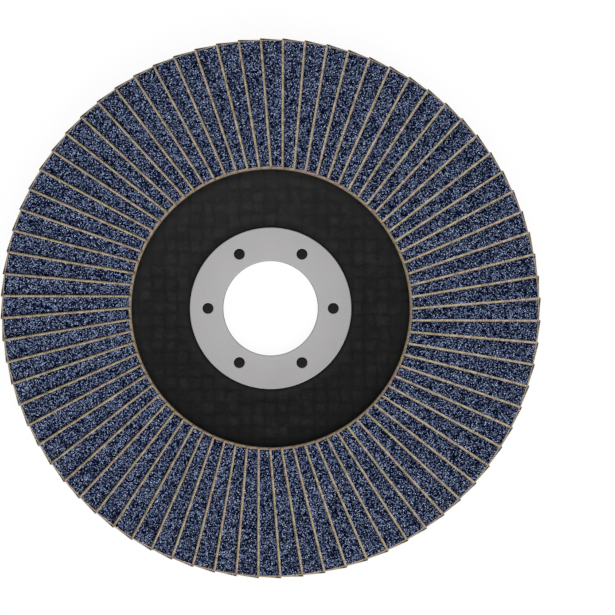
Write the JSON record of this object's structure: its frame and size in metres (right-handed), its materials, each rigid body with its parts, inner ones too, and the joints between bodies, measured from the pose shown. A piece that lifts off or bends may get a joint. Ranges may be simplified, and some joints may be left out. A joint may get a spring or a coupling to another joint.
{
  "type": "flap disc",
  "caption": "Round abrasive flap disc with overlapping cloth flaps on a dished black backing plate and a steel ring round its bore.",
  "frame": {"origin": "on the bore axis, in the plane of the hub's back face, on which the disc rests", "axes": "+Z along the bore axis, from the hub's back face towards the abrasive face; +X towards the first flap's free edge"},
  "size_m": [0.1262, 0.1262, 0.0135],
  "materials": {
    "black_laminate": "moulded glass-fibre laminate, satin black, with a faint mesh",
    "ring_steel": "pale grey zinc-plated steel, matt",
    "cured_resin": "cured resin, dark and slightly glossy",
    "abrasive_cloth": "tan woven cloth with a coat of dark blue grain in resin"
  },
  "bodies": {
    "root": {"backing_plate": "black_laminate", "centre_ring": "ring_steel", "adhesive_bed": "cured_resin", "flaps_01_02": "abrasive_cloth", "flaps_03_04": "abrasive_cloth", "flaps_05_06": "abrasive_cloth", "flaps_07_08": "abrasive_cloth", "flaps_09_10": "abrasive_cloth", "flaps_11_12": "abrasive_cloth", "flaps_13_14": "abrasive_cloth", "flaps_15_16": "abrasive_cloth", "flaps_17_18": "abrasive_cloth", "flaps_19_20": "abrasive_cloth", "flaps_21_22": "abrasive_cloth", "flaps_23_24": "abrasive_cloth", "flaps_25_26": "abrasive_cloth", "flaps_27_28": "abrasive_cloth", "flaps_29_30": "abrasive_cloth", "flaps_31_32": "abrasive_cloth", "flaps_33_34": "abrasive_cloth", "flaps_35_36": "abrasive_cloth", "flaps_37_38": "abrasive_cloth", "flaps_39_40": "abrasive_cloth", "flaps_41_42": "abrasive_cloth", "flaps_43_44": "abrasive_cloth", "flaps_45_46": "abrasive_cloth", "flaps_47_48": "abrasive_cloth", "flaps_49_50": "abrasive_cloth", "flaps_51_52": "abrasive_cloth", "flaps_53_54": "abrasive_cloth", "flaps_55_56": "abrasive_cloth", "flaps_57_58": "abrasive_cloth", "flaps_59_60": "abrasive_cloth", "flaps_61_62": "abrasive_cloth", "flaps_63_64": "abrasive_cloth", "flaps_65_66": "abrasive_cloth", "flaps_67_68": "abrasive_cloth", "flaps_69_70": "abrasive_cloth", "flaps_71_72": "abrasive_cloth", "flaps_73_74": "abrasive_cloth", "flaps_75_76": "abrasive_cloth"}
  },
  "joints": []
}
